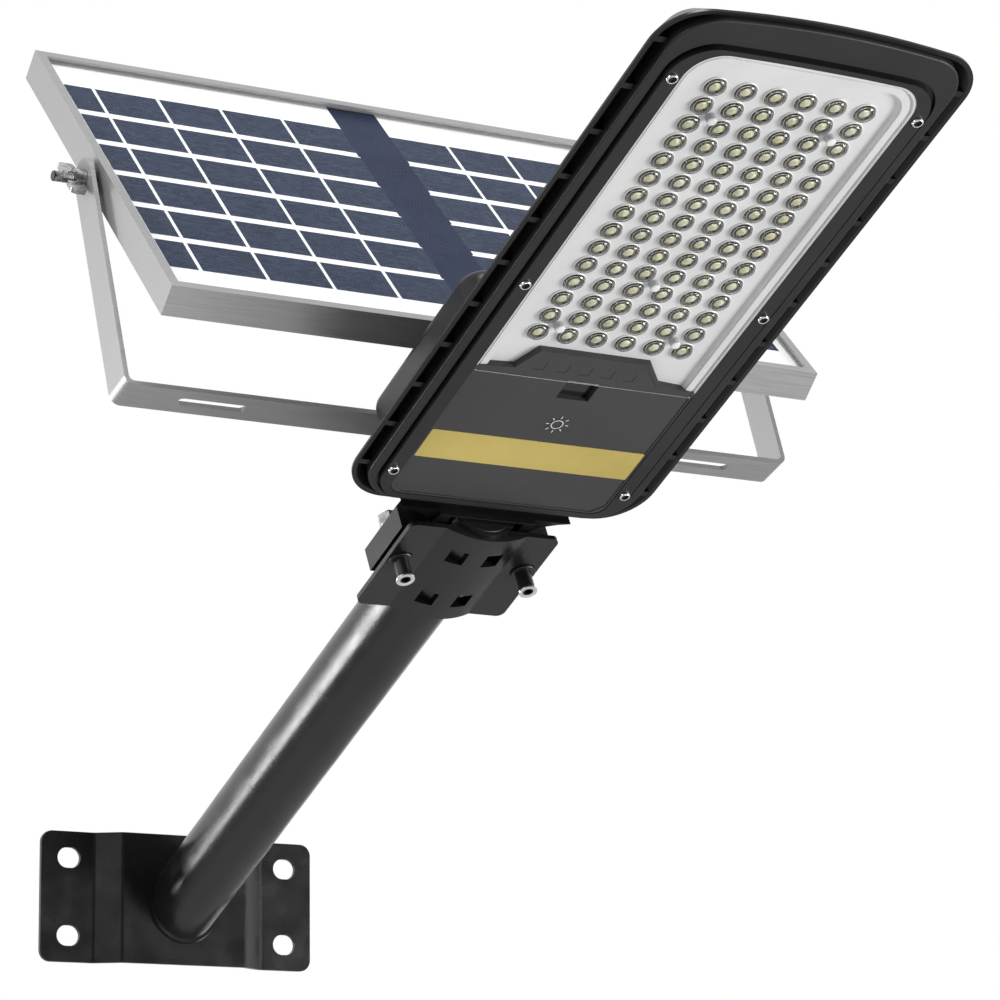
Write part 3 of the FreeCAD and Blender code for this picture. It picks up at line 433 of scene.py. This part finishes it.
# radius, rise off the tray floor, material
CUP = (
    (7.15, 0.0, RIM), (7.15, 0.7, RIM), (6.75, 1.0, RIM), (6.5, 0.4, DARK), (5.5, 0.35, DARK),
    (5.3, 1.2, LIGHT), (4.9, 1.3, LIGHT), (4.7, 0.6, DARK), (3.9, 0.6, DARK), (3.7, 1.5, LIGHT),
    (3.3, 1.6, LIGHT), (3.1, 1.0, DARK), (2.5, 1.2, CHIP), (1.6, 2.0, CHIP), (0.7, 2.3, CHIP),
)
cups, domes = [], []
cup_profile = [(radius, FLOOR_Z - rise, pick) for radius, rise, pick in CUP]
DOME = ((6.6, 0.9), (6.5, 1.4), (6.1, 2.1), (5.3, 2.75), (4.2, 3.2), (2.7, 3.55), (1.0, 3.7))
dome_profile = [(radius, FLOOR_Z - rise, 0) for radius, rise in DOME]
dome_profile += [(radius * 0.95 - 0.05, FLOOR_Z - rise + 0.25, 0) for radius, rise in reversed(DOME)]
for x in COLUMNS:
    for y in ROWS:
        cups.append(lathe(cup_profile, (x, y), LENS_SIDES))
        domes.append(lathe(dome_profile, (x, y), LENS_SIDES, capped=False))
points, faces, picks = gather(cups)
piece("lens_cups", points, faces, ARM, "lamp_head",
      ["cup_dark", "cup_light", "rim_clear", "phosphor"], picks)
points, faces, picks = gather(domes)
piece("lens_domes", points, faces, ARM, "lamp_head", ["lens"], picks, replaces=["lens_plate"])

# ------------------------------------------------------------------ screws and posts seen in the face

# the hex socket recess (pick 1) gets the near-black painted shade material
screw_profile = [
    (1.8, -7.5, 0), (3.3, -10.9, 0), (3.5, -11.5, 0), (3.5, -12.3, 0), (3.2, -12.9, 0),
    (2.8, -13.1, 0), (2.4, -13.0, 0), (2.1, -12.6, 1), (1.9, -11.7, 1), (0.6, -11.6, 1),
]
SCREW_X, SCREW_REACH = 80.3, (837.5, 665.0, 493.0)
screws = [lathe(screw_profile, (SCREW_X * side, -y), 28) for side in (-1, 1) for y in SCREW_REACH]
points, faces, picks = gather(screws)
piece("ring_screws", points, faces, ARM, "lamp_head", ["chrome", "socket_painted_shade"], picks,
      replaces=[f"ring_screw_{i}" for i in range(1, 7)])

end_profile = [
    (5.02, -35.2, 0), (5.9, -35.4, 0), (6.05, -36.0, 0), (5.8, -36.5, 0),
    (4.2, -36.6, 0), (3.4, -36.35, 0), (3.25, -35.9, 0), (3.4, -35.3, 0),
]
BOLT_X, BOLT_Y = 43.0, -421.0
ends = [lathe(end_profile, (BOLT_X * side, BOLT_Y), 32, capped=False) for side in (-1, 1)]
points, faces, picks = gather(ends)
piece("bolt_ends", points, faces, ARM, "lamp_head", ["chrome"], picks)

post_profile = [(3.0, -5.2, 0), (3.0, -10.6, 0), (2.8, -11.0, 1), (2.3, -11.3, 1), (1.1, -11.45, 1)]
POSTS = ((-39.2, -810.6), (39.2, -810.6), (0.0, -676.1), (-39.2, -631.3), (39.2, -631.3))
points, faces, picks = gather([lathe(post_profile, spot, 24) for spot in POSTS])
piece("board_posts", points, faces, ARM, "lamp_head", ["post_clear", "post_face"], picks,
      replaces=[f"board_post_{i}" for i in range(1, 6)])

# ------------------------------------------------------------------ threads of the pivot bolts

THREAD_START, TURNS, PITCH = 239.9, 13, 1.0
ROOT, CREST = 2.85, 3.3
threads = []
for top in (THREAD_START + TURNS * PITCH, -THREAD_START):
    profile = []
    for turn in range(TURNS):
        z = top - turn * PITCH
        profile += [(ROOT, z, 0), (CREST, z - 0.5 * PITCH, 0)]
    threads.append(lathe(profile, (0, 0), 24, capped=False))
points, faces, picks = gather(threads)
ALONG_X = PANEL @ Matrix.Rotation(math.radians(90), 4, "Y")
piece("bolt_threads", points, faces, ALONG_X, "solar_panel", ["thread_steel"], picks)

# ------------------------------------------------------------------ sun icon on the label

ICON = Vector((2.0, -550.0, -11.02))


def flat_ring(inner, outer, segments=48):
    """A flat ring round the middle of the icon."""
    points, faces = [], []
    for k in range(segments):
        a = 2 * math.pi * k / segments
        for radius in (inner, outer):
            points.append((ICON.x + radius * math.cos(a), ICON.y + radius * math.sin(a), ICON.z))
    for k in range(segments):
        nxt = (k + 1) % segments
        faces.append((2 * k, 2 * nxt, 2 * nxt + 1, 2 * k + 1))
    return points, faces, [0] * len(faces)


RAY_START, RAY_END, RAY_HALF = 5.4, 7.6, 0.35
marks = [flat_ring(3.3, 4.0)]
for k in range(8):
    a = math.radians(45 * k)
    along = Vector((math.cos(a), math.sin(a), 0))
    aside = Vector((-along.y, along.x, 0)) * RAY_HALF
    start = ICON + along * RAY_START
    end = ICON + along * RAY_END
    marks.append(([start - aside, start + aside, end + aside, end - aside], [(0, 1, 2, 3)], [0]))
points, faces, picks = gather(marks)
piece("sun_icon", points, faces, ARM, "lamp_head", ["icon_ink"], picks, smooth=False)

# ------------------------------------------------------------------ solar cells

PANEL_FACE = PANEL @ Matrix.Translation((0, 0, 3.5 * MM))
HALF_DEPTH, LIP_SHEET, GLASS = 10.25, 1.65, 3.2
GLASS_Z = HALF_DEPTH - LIP_SHEET
SHEET_Z = GLASS_Z - GLASS + 0.02
half_w, half_l = 226.0, 144.0
INSET = 2.5
EDGE, STRIP, NARROW, GAP = 11.0, 18.0, 19.0, 2.4
ROW_TOP, ROW_HIGH, ROW_GAP = 33.0, 32.0, 6.2
BUS_HALF = 0.25
full = (half_w - EDGE - STRIP - NARROW - 4 * GAP) / 4
columns = [(-half_w + EDGE, NARROW)]
x = -half_w + EDGE + NARROW + GAP
for k in range(4):
    columns.append((x, full))
    x += full + GAP
columns += [(-left - wide, wide) for left, wide in reversed(columns)]


def quad(x0, x1, y0, y1, z, pick):
    """One flat rectangle facing up."""
    return [(x0, y0, z), (x1, y0, z), (x1, y1, z), (x0, y1, z)], [(0, 1, 2, 3)], [pick]


tiles = []
for row in range(6):
    top = half_l - ROW_TOP - row * (ROW_HIGH + ROW_GAP)
    for left, wide in columns:
        slack = random.uniform(-0.15, 0.15)
        tiles.append(quad(left + slack, left + wide + slack, top - ROW_HIGH, top, SHEET_Z + 0.05, 0))
        for part in (0.25, 0.75):
            level = top - ROW_HIGH * part
            tiles.append(quad(left + slack, left + wide + slack, level - BUS_HALF, level + BUS_HALF,
                              SHEET_Z + 0.08, 1))
    tiles.append(quad(-STRIP - 1.0, STRIP + 1.0, top - ROW_HIGH - ROW_GAP + 1.2, top - 1.2,
                      SHEET_Z + 0.04, 2))
tiles.append(quad(-STRIP, STRIP, -half_l + INSET, half_l - INSET, SHEET_Z + 0.03, 2))
points, faces, picks = quad(-half_w + INSET, half_w - INSET, -half_l + INSET, half_l - INSET, GLASS_Z, 0)
piece("cover_glass", points, faces, PANEL_FACE, "solar_panel", ["solar_glass"], picks,
      smooth=False, replaces=["panel_glass"])
points, faces, picks = gather(tiles)
piece("cell_grid", points, faces, PANEL_FACE, "solar_panel",
      ["silicon", "busbar", "strip_blue"], picks, smooth=False)
